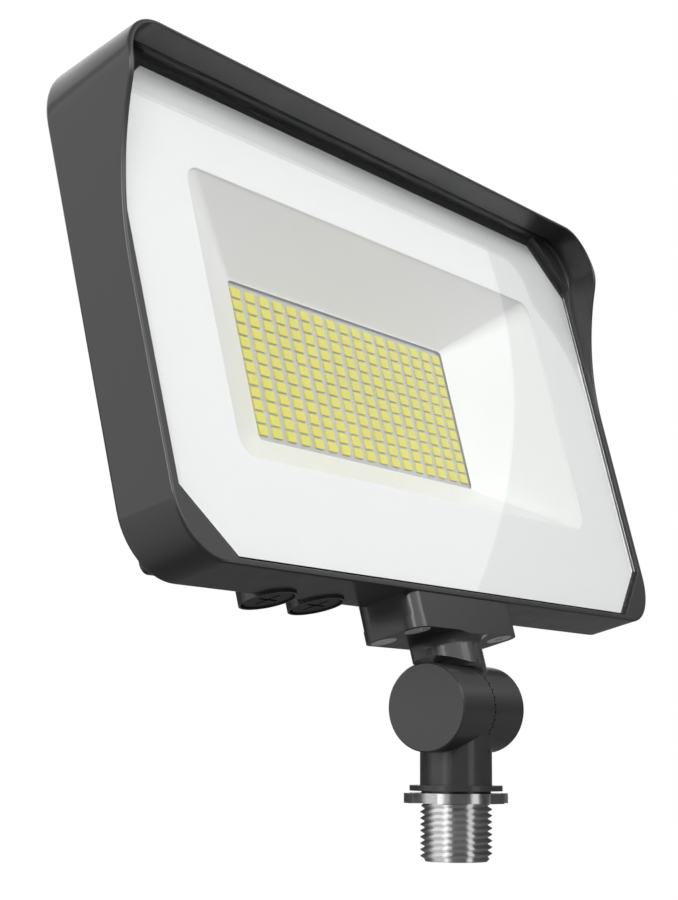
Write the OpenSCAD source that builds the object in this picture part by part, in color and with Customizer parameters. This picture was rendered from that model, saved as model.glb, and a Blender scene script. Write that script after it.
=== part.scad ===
/* [Head] */
// Width of the head across the rim
head_w = 269; // [250:1:290]
// Height of the head from underside to hood top
head_h = 148.3; // [140:0.1:160]
// Height of the head's underside above the tilt axis
head_rise = 31.5; // [30:0.1:36]
// Radius of the rim's corners
corner_r = 17.5; // [12:0.5:22]
// Distance of the front lip ahead of the tilt axis
lip_ahead = 11.9; // [11:0.1:13]
// Depth of the rim from lip to back edge
rim_depth = 17.7; // [17:0.1:22]
// Thickness of the lip at the sides
side_lip = 3.3; // [3:0.1:4.5]
// Thickness of the lip along the bottom
bottom_lip = 1.5; // [1.2:0.1:3]
// Chamfer on the rim's back edge
back_edge = 1.6; // [0.5:0.1:2.4]

/* [Hood] */
// Reach of the hood ahead of the lip
hood_reach = 12.4; // [8:0.1:18]
// Thickness of the hood's top wall
hood_t = 1.4; // [1.2:0.1:2.5]
// Thickness of the hood's side wings
wing_t = 1.8; // [1.4:0.1:2.6]
// Height of the straight front below the hood's top
hood_straight = 14.1; // [10:0.1:20]
// Radius of the concave sweep up each wing
sweep_r = 122; // [80:1:150]
// Radius of the convex turn at the top of each wing
turn_r = 18; // [10:1:30]

/* [Lens] */
// Rise of the floor in the hood's corners
corner_floor = 1.2; // [0:0.1:2]
// Depth of the lens face behind the lip
lens_recess = 0.9; // [0.3:0.1:1.5]
// Thickness of the clear lens
lens_t = 2; // [1.5:0.1:3]
// Width of the corner cut across the lens
cut_x = 19.5; // [15:0.5:24]
// Height of the corner cut across the lens
cut_z = 17.2; // [13:0.1:20]
// Gap all round the lens in its pocket
lens_gap = 0.3; // [0.2:0.05:0.6]
// Thickness of the gasket and flange under the lens
flange_t = 1.5; // [1.2:0.1:2]
// Width of the ledge that carries the flange
ledge_w = 4; // [3:0.1:6]
// Width of the gasket along the top edge
gasket_top = 2.5; // [1.5:0.1:4]
// Width of the gasket at the sides and bottom
gasket_side = 0.8; // [0.6:0.1:1.6]

/* [Reflector] */
// Width of the funnel's mouth
mouth_w = 197.6; // [180:0.5:210]
// Height of the funnel's mouth
mouth_h = 85.4; // [78:0.2:95]
// Width of the funnel's foot opening
foot_w = 122; // [120:0.5:124]
// Height of the funnel's foot opening
foot_h = 51; // [50:0.2:54]
// Wall of the funnel
funnel_t = 1.2; // [1:0.1:1.8]
// Radius of the mouth's corners
mouth_r = 6; // [3:0.5:9]
// Height of the mouth's centre above the tilt axis
mouth_rise = 106.3; // [104:0.1:108]

/* [LED board] */
// Columns of LEDs
led_cols = 17; // [9:1:17]
// Rows of LEDs
led_rows = 12; // [6:1:12]
// Spacing of the LED columns
led_pitch_x = 7.15; // [5.5:0.05:7.2]
// Spacing of the LED rows
led_pitch_z = 3.96; // [3.9:0.01:4]
// Width of one LED
led_w = 4.6; // [3:0.1:5]
// Height of one LED
led_h = 3.3; // [2:0.1:3.5]
// Thickness of one LED
led_t = 0.75; // [0.5:0.05:1]
// Width of the LED board
board_w = 138; // [137:0.5:140]
// Height of the LED board
board_h = 60; // [58:0.5:60]
// Thickness of the LED board
board_t = 1.6; // [1:0.1:2]
// Depth of the LED board's face behind the tilt axis
board_back = 11.3; // [10.5:0.1:13]
// Height of the LED board's centre above the tilt axis
board_rise = 105.4; // [105:0.1:106]
// Thickness of the thermal pad
pad_t = 0.5; // [0.3:0.1:1]
// Height spacing of the board's screws
board_screw_pitch = 22; // [18:1:24]

/* [Casting] */
// Wall of the casting's back
wall = 3; // [2.5:0.1:3.6]
// Half width of the raised back
back_half_w = 91; // [90:0.5:94]
// Height of the raised back's top above the tilt axis
back_top = 150; // [142:1:160]
// Number of cooling fins
fin_count = 21; // [11:2:27]
// Thickness of one fin
fin_t = 2; // [1.5:0.1:2.5]
// Depth of the fins behind the raised back
fin_depth = 17; // [10:0.5:20]

/* [Driver] */
// Height of the driver box's underside above the tilt axis
box_low = 45.5; // [45.5:0.5:47]
// Inner height of the driver box
box_in_h = 24; // [23:0.5:25]
// Depth of the driver box's back behind the tilt axis
box_back = 33; // [31:0.5:36]
// Thickness of the back cover
cover_t = 2.6; // [2:0.1:3.5]
// Thickness of the cover's gasket
cover_gasket_t = 0.8; // [0.5:0.1:1.5]
// Length of the driver tray
tray_l = 132; // [120:1:136]

/* [Selectors] */
// Distance of the power selector left of the stem axis
power_x = 74; // [72:0.1:78]
// Spacing of the two selectors
selector_pitch = 23; // [20:0.1:25]
// Distance of the selectors behind the tilt axis
selector_back = 8.2; // [8:0.1:9]
// Height of the selector boss's end above the tilt axis
selector_rise = 30.5; // [29:0.1:30.9]
// Radius of a selector boss
boss_r = 8.3; // [8:0.1:9]
// Radius of a cap's head
cap_r = 7.4; // [6.5:0.1:7.5]
// Radius of a cap's plug
plug_r = 5; // [4.5:0.1:5.2]
// Travel of a cap as it is unscrewed
cap_travel = 14; // [10:1:16]
// Travel of a selector switch to each side
switch_travel = 2; // [1:0.1:2.2]

/* [Arm] */
// Width of the arm's plate
plate_w = 60.5; // [56:0.5:66]
// Depth of the arm's plate
plate_d = 21; // [18:0.5:22]
// Thickness of the arm's plate
plate_t = 3.7; // [3.5:0.1:5]
// Radius of the plate's corners
plate_r = 5; // [4:0.5:8]
// Step from the plate in to the boss above it
plate_step = 0.45; // [0.2:0.05:1.5]
// Offset of the neck's centre to the right of the stem axis
neck_x = 1.15; // [0:0.05:1.5]
// Offset of the plate's centre ahead of the tilt axis
arm_ahead = 0.9; // [0:0.1:1.5]
// Width of the neck
neck_w = 26.3; // [25:0.1:30]
// Depth of the neck
neck_d = 15.2; // [14.5:0.1:16]
// Reach of the neck ahead of the tilt axis
neck_front = 10.2; // [9.5:0.1:10.5]
// Radius of the neck's two front corners
neck_corner = 11.5; // [8:0.5:12]
// Radius of the fillet from the neck to the plate
neck_fillet = 3.3; // [2.5:0.1:4]
// Side spacing of the plate's screws
arm_screw_x = 48; // [44:0.5:50]
// Depth spacing of the plate's screws
arm_screw_d = 11.9; // [10:0.1:13]
// Radius of a plate screw's head
screw_head_r = 3.9; // [3.4:0.1:4]

/* [Knuckle] */
// Radius of the knuckle discs
disc_r = 13; // [12:0.1:15]
// Distance from the stem axis to the left disc's face
disc_left = 17.2; // [16:0.1:20]
// Distance from the stem axis to the right disc's face
disc_right = 18.7; // [18:0.1:21]
// Distance of the toothed seam right of the stem axis
seam_x = 0.9; // [0:0.1:1.5]
// Number of teeth round the seam
teeth = 36; // [24:12:48]
// Width of the notch between two teeth
notch_w = 1.1; // [0.8:0.1:1.3]
// Depth of the notch between two teeth
notch_depth = 0.75; // [0.5:0.05:0.9]
// Radius of the sweep that clears each disc
relief_r = 15.3; // [14.6:0.1:16.5]
// Distance from the stem axis to the right end of the neck's relief
relief_end = 2.9; // [1.6:0.1:3.4]
// Tilt of the head back from upright
tilt = 14.6; // [0:0.1:20]

/* [Stem] */
// Height of the tilt axis above the free thread
axis_rise = 28; // [27:0.1:34]
// Radius of the stem tube
tube_r = 10.7; // [10.7:0.1:12]
// Radius of the thread
thread_r = 10.67; // [10:0.01:10.67]
// Length of the free thread with its chamfer
thread_l = 16.5; // [12:0.5:24]
// Chamfer at the thread's end
thread_chamfer = 1.5; // [1:0.1:2]
// Radius of the shoulder flange
flange_r = 13.8; // [12.5:0.1:16]
// Thickness of the shoulder flange
shoulder_t = 1.6; // [1.2:0.1:3]
// Radius of the wire passage in the stem
wire_r = 7.5; // [6:0.1:8]
// Thickness of the locknut
nut_t = 2.9; // [2.5:0.1:3.2]
// Radius over the locknut's lugs
nut_r = 15.6; // [14.5:0.1:18]
// Number of lugs round the locknut
nut_lugs = 6; // [4:1:8]
// Angle that one lug takes
lug_angle = 25; // [15:1:35]
// Turn of the locknut on the thread
nut_turn = 22.8; // [0:0.1:60]
// Radius of the pivot bolt
bolt_r = 3; // [2.5:0.1:3.2]

/* [Hidden] */
$fn = 64;

charcoal = [0.20, 0.20, 0.21];
zinc = [0.72, 0.73, 0.74];
steel = [0.60, 0.61, 0.63];
white = [0.93, 0.93, 0.92];
rubber = [0.07, 0.07, 0.07];
circuit = [0.10, 0.35, 0.20];

eps = 0.01;
fit = 0.08;
clear = 0.3;

// Head places, measured from the tilt axis: forward is positive, back is negative
low = head_rise;
top = head_rise + head_h;
lip = lip_ahead;
rim_back = lip - rim_depth;
floor_back = rim_back + wall;
hood_front = lip + hood_reach;
lens_front = lip - lens_recess;
lens_back = lens_front - lens_t;
ledge = lens_back - flange_t;
board_front = -board_back;
pad_front = board_front - board_t;
sink_front = pad_front - pad_t;
raised_back = sink_front - wall;
fin_back = raised_back - fin_depth;
led_front = board_front + led_t;
margin = gasket_side + 0.1;
board_screw_r = 2.1;
board_screw_head_t = 0.7;
board_screw_in = 2.6;
foot_gap = 0.2;
foot_front = board_front + board_screw_head_t + foot_gap;

// Pocket that takes the lens, as left-right half width, bottom and top
pocket_half = head_w / 2 - side_lip;
pocket_low = low + bottom_lip;
pocket_top = top - hood_t;
cavity_low = pocket_low + ledge_w;

// Board recess and driver box inside the casting, the box long enough for tray and selectors
recess_half_w = board_w / 2 + 1;
pad_inset = 4.5;
recess_half_h = board_h / 2 + 0.5;
board_screw_x = board_w / 2 - board_screw_in;
board_screw_z = [for (i = [-1 : 1]) board_rise + i * board_screw_pitch];
box_high = box_low + box_in_h + 2 * wall;
box_in_low = box_low + wall;
box_in_high = box_in_low + box_in_h;
box_mid = (box_in_low + box_in_high) / 2;
tray_end = 22;
selector_end = 13;
box_in_half = max(tray_l / 2 + tray_end, power_x + selector_end + 1);
box_half = box_in_half + wall;
cover_front = -box_back - cover_gasket_t;
boss_inset = 3.6;
earth_x = 28;
earth_rise = 6;
cover_screw_x = [-box_in_half + boss_inset, box_in_half - boss_inset];
cover_screw_z = [box_in_low + boss_inset, box_in_high - boss_inset];

// Hood side profile: concave sweep and convex turn, tangent to each other
sweep_a = acos(1 - hood_reach / (sweep_r + turn_r));
sweep_low = top - hood_straight - (sweep_r + turn_r) * sin(sweep_a);
turn_high = top - hood_straight;
sweep_steps = 16;
turn_steps = 6;

// Selector places
power_at = -power_x;
colour_at = -power_x + selector_pitch;
cap_recess = 0.4;
cap_head_t = 2;
seal_d = 1.5;
cap_seat = selector_rise + cap_recess + cap_head_t + seal_d + 0.1;
plug_l = cap_travel - 2;
selector_board_rise = 9;
selector_board_z = box_in_low + selector_board_rise;
selector_board_t = 1.2;
selector_half_d = 5;
selector_screw_in = 3;
switch_h = 5;
switch_half_l = 5.5;
switch_half_d = 3;
slider_half_l = 1.2;
slider_half_d = 1.1;
slider_out = 2.6;

// Driver tray and what it carries, from the cover forward
tray_wall = 1.2;
tray_gap = 2.8;
tray_back = -box_back + 1;
tray_front = -selector_back - selector_half_d - tray_gap;
tray_low = box_in_low + 0.02;
tray_high = box_in_high - 1;
ear_l = 8;
ear_d = 10;
ear_t = 2;
ear_back = 11;
driver_board_t = 1.6;
driver_board_gap = 0.4;
driver_board_back = tray_back + tray_wall;
parts_back = driver_board_back + driver_board_t;
parts_z = box_mid - 0.5;
coil_l = 24;
coil_h = 15;
core_l = 18;
core_h = 12;
capacitor_r = 6;
capacitor_left = 16;
capacitor_right = 20;
capacitor_pitch = 16;
capacitor_front = tray_front - 0.7;

// Knuckle and stem heights
seam_gap = 0.05;
arm_bottom = head_rise - 10.8;
boss_end = arm_bottom + plate_t;
nut_gap = 0.35;
flange_low = nut_gap + nut_t + 0.65;
neck_r_below = thread_r - 0.37;
bolt_head_r = 5;
bolt_head_t = 4;
washer_t = 1;
washer_seat = disc_right - 5.5;
boss_tube_r = 4.6;
cavity_r = 9;
duct_r = 3.5;
duct_x = 6.5;
bolt_tip = -disc_left + 5;
disc_edge = 0.4;
boss_flush = 0.3;
lug_depth = 2.2;
neck_back_r = 2;
passage_r = 4.2;
passage_x = tube_r - passage_r - 1.3;
passage_low = axis_rise - relief_r - 3.5;

// Places its children in the head's own tilted frame
module in_head() {
  translate([0, 0, axis_rise]) rotate([-tilt, 0, 0]) children();
}

// Extrudes a front-view outline from depth w0 to depth w1, forward of the tilt axis
module slab(w0, w1) {
  translate([0, -w0, 0]) rotate([90, 0, 0]) linear_extrude(w1 - w0) children();
}

// Extrudes a side-view outline, drawn as depth back and height, across the width
module side_slab(x0, x1) {
  translate([x0, 0, 0]) rotate([90, 0, 90]) linear_extrude(x1 - x0) children();
}

// Box from its low and high x, depth and height
module block(x0, x1, w0, w1, z0, z1) {
  translate([x0, -w1, z0]) cube([x1 - x0, w1 - w0, z1 - z0]);
}

module rounded(w, h, r) {
  square([w - 2 * r, h], center = true);
  square([w, h - 2 * r], center = true);
  for (x = [-1, 1])
    for (z = [-1, 1])
      translate([x * (w / 2 - r), z * (h / 2 - r)]) circle(r);
}

// Eight-sided outline of the pocket, moved in by side, bottom and top insets
module octagon(side, bottom, head) {
  x = pocket_half - side;
  z0 = pocket_low + bottom;
  z1 = pocket_top - head;
  polygon([[-x + cut_x, z0], [x - cut_x, z0], [x, z0 + cut_z], [x, z1 - cut_z],
    [x - cut_x, z1], [-x + cut_x, z1], [-x, z1 - cut_z], [-x, z0 + cut_z]]);
}

module rim_outline(inset = 0) {
  translate([0, (low + top) / 2])
    rounded(head_w - 2 * inset, head_h - 2 * inset, corner_r - inset);
}

// Side view of the head: straight lip, sweep, turn and straight hood front
module side_profile() {
  sweep = [for (i = [0 : sweep_steps]) let (a = sweep_a * i / sweep_steps)
    [-(lip + sweep_r * (1 - cos(a))), sweep_low + sweep_r * sin(a)]];
  turn = [for (i = [1 : turn_steps]) let (a = sweep_a * (1 - i / turn_steps))
    [-(hood_front - turn_r * (1 - cos(a))), turn_high - turn_r * sin(a)]];
  far = 2 * head_h;
  polygon(concat([[far, 0], [-lip, 0]], sweep, turn, [[-hood_front, far], [far, far]]));
}

module rim_body() {
  intersection() {
    slab(rim_back + back_edge, hood_front) rim_outline();
    side_slab(-head_w, head_w) side_profile();
  }
  hull() {
    slab(rim_back + back_edge - eps, rim_back + back_edge) rim_outline();
    slab(rim_back, rim_back + eps) rim_outline(back_edge);
  }
}

// Room under the hood, between the wings
module hood_room() {
  w = head_w - 2 * wing_t;
  h = head_h - hood_t + corner_r;
  slab(lip, hood_front + 1)
    translate([0, top - hood_t - h / 2]) rounded(w, h, corner_r - wing_t);
}

// Raised floors beside the upper corner cuts of the lens
module corner_floors() {
  slab(lip - 1, lip + corner_floor) translate([-head_w / 2, pocket_top - cut_z])
    square([head_w, cut_z + 1]);
}

module heat_sink() {
  block(-back_half_w, back_half_w, raised_back, rim_back + 1, box_high - 1, back_top);
  pitch = 2 * (back_half_w - 4) / (fin_count - 1);
  slope = fin_depth * 0.8;
  for (i = [0 : fin_count - 1])
    side_slab(-back_half_w + 4 + i * pitch - fin_t / 2, -back_half_w + 4 + i * pitch + fin_t / 2)
      polygon([[-rim_back - 1, box_high - 1], [-fin_back - 4, box_high - 1],
        [-fin_back, box_high + 4], [-fin_back, back_top + 4],
        [-rim_back - 1, back_top + 4 + slope]]);
}

module driver_box() {
  block(-box_half, box_half, -box_back, rim_back + 1, box_low, box_high);
}

module cover_posts() {
  post_r = boss_inset + 1;
  for (x = cover_screw_x)
    for (z = cover_screw_z)
      translate([x, -rim_back - 1, z]) rotate([-90, 0, 0])
        cylinder(r = post_r, h = box_back + rim_back + 1);
}

// Rounded block under the head that the arm's plate is screwed to
module arm_boss() {
  translate([0, -arm_ahead, boss_end]) linear_extrude(low + 3 - boss_end)
    rounded(plate_w - 2 * plate_step, plate_d - boss_flush, plate_r - plate_step);
}

module at_arm_screws() {
  for (x = [-1, 1])
    for (w = [-1, 1])
      translate([x * arm_screw_x / 2, -arm_ahead - w * arm_screw_d / 2, arm_bottom])
        children();
}

module at_board_screws() {
  for (x = [-1, 1])
    for (z = board_screw_z)
      translate([x * board_screw_x, -board_front, z]) rotate([90, 0, 0]) children();
}

module at_cover_screws() {
  for (x = cover_screw_x)
    for (z = cover_screw_z)
      translate([x, -cover_front + cover_t, z]) rotate([-90, 0, 0]) children();
}

module at_selectors() {
  for (x = [power_at, colour_at])
    translate([x, selector_back, 0]) children();
}

module at_selector_screws() {
  out = selector_end - selector_screw_in;
  for (x = [power_at - out, (power_at + colour_at) / 2, colour_at + out])
    translate([x, selector_back + 1, selector_board_z]) children();
}

module at_tray_screws() {
  for (x = [-1, 1])
    translate([x * (tray_l + ear_l) / 2, box_back - ear_back, box_in_low]) children();
}

module at_earth_screw() {
  translate([earth_x, -floor_back, cavity_low + earth_rise]) children();
}

// True where a LED would stand under the head of a board screw
function under_screw(x, z) = len([for (s = board_screw_z)
  if (abs(abs(x) - board_screw_x) < led_w / 2 + board_screw_r + clear
    && abs(z - s) < led_h / 2 + board_screw_r + clear) s]) > 0;

module housing() {
  color(charcoal) in_head() difference() {
    union() {
      rim_body();
      heat_sink();
      driver_box();
      arm_boss();
      at_selectors() translate([0, 0, selector_rise])
        cylinder(r = boss_r, h = box_in_low - selector_rise);
    }
    difference() {
      hood_room();
      corner_floors();
    }
    slab(ledge, hood_front) octagon(0, 0, 0);
    difference() {
      slab(floor_back, ledge + eps) octagon(ledge_w, ledge_w, ledge_w + gasket_top);
      at_selectors() cylinder(r = boss_r, h = box_in_low);
    }
    block(-recess_half_w, recess_half_w, sink_front, board_front + 2,
      board_rise - recess_half_h, board_rise + recess_half_h);
    funnel_room();
    difference() {
      block(-box_in_half, box_in_half, -box_back - 1, ledge, box_in_low, box_in_high);
      cover_posts();
      at_selector_screws() translate([0, 0, -selector_board_rise - 1])
        cylinder(r = 2.4, h = selector_board_rise + 1);
    }
    at_selectors() translate([0, 0, arm_bottom]) {
      cylinder(r = plug_r + fit, h = box_in_low + 1 - arm_bottom);
      cylinder(r = cap_r + clear, h = cap_seat - arm_bottom);
    }
    translate([duct_x, 0, boss_end - 1])
      cylinder(r = duct_r, h = cavity_low + earth_rise + 1.4 - boss_end);
    at_arm_screws() translate([0, 0, plate_t - 1]) cylinder(r = 1.7, h = 9);
    at_board_screws() translate([0, 0, -board_t - pad_t - 2]) cylinder(r = 1.3, h = 4);
    at_cover_screws() translate([0, 0, -cover_t - cover_gasket_t - 8]) cylinder(r = 1.7, h = 12);
    at_earth_screw() rotate([-90, 0, 0]) translate([0, 0, -1]) cylinder(r = 2.05, h = 3);
    at_selector_screws() translate([0, 0, -7]) cylinder(r = 1.1, h = 8);
    at_tray_screws() translate([0, 0, -2]) cylinder(r = 1.3, h = 3);
  }
}

// Tapered room in the casting's back for the reflector's funnel
module funnel_room() {
  grow = 2 * (funnel_t + clear + 1);
  hull() {
    slab(ledge, ledge + eps) translate([0, mouth_rise])
      square([mouth_w + grow, mouth_h + grow], center = true);
    slab(board_front, board_front + eps) translate([0, board_rise])
      square([foot_w + grow, foot_h + grow], center = true);
  }
}

module back_cover() {
  color(charcoal) in_head() difference() {
    translate([0, -cover_front, (box_low + box_high) / 2]) rotate([-90, 0, 0])
      linear_extrude(cover_t) rounded(2 * box_half, box_high - box_low, 3);
    at_cover_screws() translate([0, 0, -cover_t - 1]) cylinder(r = 2.1, h = cover_t + 2);
    at_cover_screws() translate([0, 0, -1]) cylinder(r = 3.6, h = 2);
  }
}

module cover_gasket() {
  color(rubber) in_head() difference() {
    translate([0, box_back, (box_low + box_high) / 2]) rotate([-90, 0, 0])
      linear_extrude(cover_gasket_t) difference() {
        rounded(2 * box_half - 1, box_high - box_low - 1, 2.5);
        rounded(2 * box_in_half + 1, box_in_h + 1, 2);
      }
  }
}

module cover_screws() {
  color(steel) in_head() at_cover_screws() {
    translate([0, 0, -1]) difference() {
      cylinder(r = 3.4, h = 1.9);
      translate([0, 0, 0.9]) cross_slot(3.6, 0.9, 2);
    }
    translate([0, 0, -cover_t - cover_gasket_t - 7])
      cylinder(r = 1.65, h = 6.1 + cover_t + cover_gasket_t);
  }
}

module cross_slot(l, w, h) {
  translate([-l / 2, -w / 2, 0]) cube([l, w, h]);
  translate([-w / 2, -l / 2, 0]) cube([w, l, h]);
}

module glass_lens() {
  color([0.85, 0.93, 0.95, 0.35]) in_head()
    slab(lens_back, lens_front) octagon(lens_gap, lens_gap, lens_gap);
}

module lens_gasket() {
  color(rubber) in_head() slab(ledge, lens_back) difference() {
    octagon(0.1, 0.1, 0.1);
    octagon(gasket_side, gasket_side, gasket_top);
  }
}

module reflector() {
  color(white) in_head() difference() {
    union() {
      slab(ledge, lens_back) octagon(margin, margin, gasket_top + 0.1);
      hull() {
        slab(ledge, ledge + eps) translate([0, mouth_rise])
          rounded(mouth_w + 2 * funnel_t, mouth_h + 2 * funnel_t, mouth_r + funnel_t);
        slab(foot_front, foot_front + eps) translate([0, board_rise])
          rounded(foot_w + 2 * funnel_t, foot_h + 2 * funnel_t, 3);
      }
    }
    hull() {
      slab(lens_back, lens_back + eps) translate([0, mouth_rise]) rounded(mouth_w, mouth_h, mouth_r);
      slab(foot_front - eps, foot_front) translate([0, board_rise]) rounded(foot_w, foot_h, 2);
    }
  }
}

module led_board() {
  color([0.75, 0.78, 0.80]) in_head() difference() {
    block(-board_w / 2, board_w / 2, pad_front, board_front,
      board_rise - board_h / 2, board_rise + board_h / 2);
    at_board_screws() translate([0, 0, -board_t - 1]) cylinder(r = 1.6, h = board_t + 2);
  }
}

module led_chips() {
  color([0.87, 0.84, 0.44]) in_head()
    for (i = [0 : led_cols - 1])
      for (j = [0 : led_rows - 1]) {
        x = (i - (led_cols - 1) / 2) * led_pitch_x;
        z = board_rise + (j - (led_rows - 1) / 2) * led_pitch_z;
        if (!under_screw(x, z))
          block(x - led_w / 2, x + led_w / 2, board_front, led_front, z - led_h / 2, z + led_h / 2);
      }
}

module thermal_pad() {
  color([0.55, 0.60, 0.65]) in_head()
    block(-board_w / 2 + pad_inset, board_w / 2 - pad_inset, sink_front, pad_front,
      board_rise - board_h / 2 + 1, board_rise + board_h / 2 - 1);
}

module board_screws() {
  color(steel) in_head() at_board_screws() {
    cylinder(r = board_screw_r, h = board_screw_head_t);
    translate([0, 0, -board_t - pad_t - 1.9]) cylinder(r = 1.25, h = board_t + pad_t + 2);
  }
}

module driver_tray() {
  color([0.15, 0.15, 0.16]) in_head() difference() {
    union() {
      block(-tray_l / 2, tray_l / 2, tray_back, tray_front, tray_low, tray_high);
      block(-tray_l / 2 - ear_l, tray_l / 2 + ear_l, -box_back + ear_back - ear_d / 2,
        -box_back + ear_back + ear_d / 2, tray_low, box_in_low + ear_t);
    }
    block(-tray_l / 2 + tray_wall, tray_l / 2 - tray_wall, driver_board_back, tray_front + 1,
      box_in_low + tray_wall, tray_high - tray_wall);
    at_tray_screws() translate([0, 0, -1]) cylinder(r = 1.6, h = ear_t + 3);
  }
}

module driver_board() {
  inset = tray_wall + driver_board_gap;
  color(circuit) in_head()
    block(-tray_l / 2 + inset, tray_l / 2 - inset, driver_board_back, parts_back,
      box_in_low + inset, tray_high - inset);
}

module driver_transformer() {
  color([0.80, 0.70, 0.30]) in_head() translate([0, 0, parts_z]) {
    block(-coil_l / 2, coil_l / 2, parts_back, tray_front - 1, -coil_h / 2, coil_h / 2);
    block(-core_l / 2, core_l / 2, tray_front - 1, tray_front + 1, -core_h / 2, core_h / 2);
  }
}

module driver_capacitors() {
  left = -tray_l / 2 + capacitor_left;
  right = tray_l / 2 - capacitor_right;
  color([0.12, 0.14, 0.30]) in_head()
    for (x = [left, left + capacitor_pitch, right - capacitor_pitch, right])
      translate([x, -parts_back, parts_z]) rotate([90, 0, 0])
        cylinder(r = capacitor_r, h = capacitor_front - parts_back);
}

module driver_screws() {
  color(steel) in_head() at_tray_screws() {
    translate([0, 0, ear_t]) cylinder(r = 2.4, h = 1.6);
    translate([0, 0, -1.9]) cylinder(r = 1.25, h = ear_t + 2);
  }
}

module selector_board() {
  color(circuit) in_head() difference() {
    block(power_at - selector_end, colour_at + selector_end, -selector_back - selector_half_d,
      -selector_back + selector_half_d, selector_board_z, selector_board_z + selector_board_t);
    at_selector_screws() translate([0, 0, -1]) cylinder(r = 1.3, h = selector_board_t + 2);
  }
}

module selector_screws() {
  color(steel) in_head() at_selector_screws() {
    translate([0, 0, selector_board_t]) cylinder(r = 2, h = 1.4);
    translate([0, 0, -6]) cylinder(r = 1.05, h = 6.1 + selector_board_t);
  }
}

module selector_bodies() {
  slot_half = slider_half_l + switch_travel + 1;
  slot_half_d = slider_half_d + clear;
  color([0.12, 0.12, 0.13]) in_head() at_selectors()
    translate([0, 0, selector_board_z - switch_h]) difference() {
      translate([-switch_half_l, -switch_half_d, 0])
        cube([2 * switch_half_l, 2 * switch_half_d, switch_h]);
      translate([-slot_half, -slot_half_d, -1]) cube([2 * slot_half, 2 * slot_half_d, slider_out]);
    }
}

module slider(x) {
  color(white) in_head()
    translate([x - slider_half_l, selector_back - slider_half_d,
      selector_board_z - switch_h - slider_out])
      cube([2 * slider_half_l, 2 * slider_half_d, slider_out + 1.4]);
}

module power_slider() {
  slider(power_at);
}

module colour_slider() {
  slider(colour_at);
}

module cap(x) {
  head_low = selector_rise + cap_recess;
  color([0.16, 0.16, 0.17]) in_head() translate([x, selector_back, 0]) difference() {
    union() {
      translate([0, 0, head_low + 0.5]) cylinder(r = cap_r, h = cap_head_t - 0.5);
      translate([0, 0, head_low]) cylinder(r1 = cap_r - 0.5, r2 = cap_r, h = 0.5);
      translate([0, 0, head_low + 1]) cylinder(r = plug_r, h = plug_l + cap_head_t - 1);
    }
    translate([0, 0, head_low - 1]) cross_slot(8.4, 1, 1.9);
  }
}

module cap_seal(x) {
  color([0.55, 0.20, 0.12]) in_head()
    translate([x, selector_back, selector_rise + cap_recess + cap_head_t + seal_d / 2])
      rotate_extrude() translate([plug_r + 0.05 + seal_d / 2, 0]) circle(r = seal_d / 2, $fn = 24);
}

module power_cap() {
  cap(power_at);
}

module power_cap_seal() {
  cap_seal(power_at);
}

module colour_cap() {
  cap(colour_at);
}

module colour_cap_seal() {
  cap_seal(colour_at);
}

module earth_screw() {
  color([0.20, 0.55, 0.25]) in_head()
    at_earth_screw() rotate([90, 0, 0]) difference() {
      union() {
        cylinder(r = 3.6, h = 2.2);
        translate([0, 0, -2]) cylinder(r = 2, h = 3);
      }
      translate([0, 0, 1.2]) cross_slot(4.4, 0.9, 2);
    }
}

// Ring of notches cut into a toothed face at the seam
module seam_notches(dir) {
  for (i = [0 : teeth - 1])
    rotate([i * 360 / teeth, 0, 0]) translate([seam_x + dir * seam_gap, 0, cavity_r - 1])
      linear_extrude(disc_r) polygon([[-dir * eps, -notch_w / 2], [dir * notch_depth, 0],
        [-dir * eps, notch_w / 2]]);
}

module along_x(x0, x1, r) {
  translate([x0, 0, 0]) rotate([0, 90, 0]) cylinder(r = r, h = x1 - x0);
}

// Outline of the plate, from above
module plate_outline() {
  translate([0, -arm_ahead]) rounded(plate_w, plate_d, plate_r);
}

// Outline of the neck from above, with a wide round to each front corner
module neck_outline() {
  half = neck_w / 2;
  translate([neck_x, -neck_front]) intersection() {
    rounded(neck_w, 2 * neck_d, neck_back_r);
    union() {
      translate([neck_corner - half, 0]) square([neck_w - 2 * neck_corner, neck_d]);
      translate([-half, neck_corner]) square([neck_w, neck_d]);
      for (side = [-1, 1])
        translate([side * (half - neck_corner), neck_corner]) circle(neck_corner);
    }
  }
}

// Section of the fillet round an outline that lies at distance r from the turning axis
module fillet_section(r) {
  difference() {
    translate([r - 1, 0]) square([neck_fillet + 1, neck_fillet + eps]);
    translate([r + neck_fillet, 0]) circle(neck_fillet);
  }
}

// Concave fillet from the neck's sides and front up to the plate
module neck_flare() {
  half = neck_w / 2;
  flat = half - neck_corner;
  translate([neck_x, neck_corner - neck_front, arm_bottom - neck_fillet]) {
    rotate([90, 0, 90]) translate([0, 0, -flat]) linear_extrude(2 * flat)
      mirror([1, 0]) fillet_section(neck_corner);
    for (side = [0, 1]) mirror([side, 0, 0]) {
      translate([flat, 0, 0]) rotate([0, 0, -90]) rotate_extrude(angle = 90)
        fillet_section(neck_corner);
      translate([0, neck_d - neck_corner - neck_back_r, 0]) rotate([90, 0, 0])
        linear_extrude(neck_d - neck_corner - neck_back_r) fillet_section(half);
    }
  }
}

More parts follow.
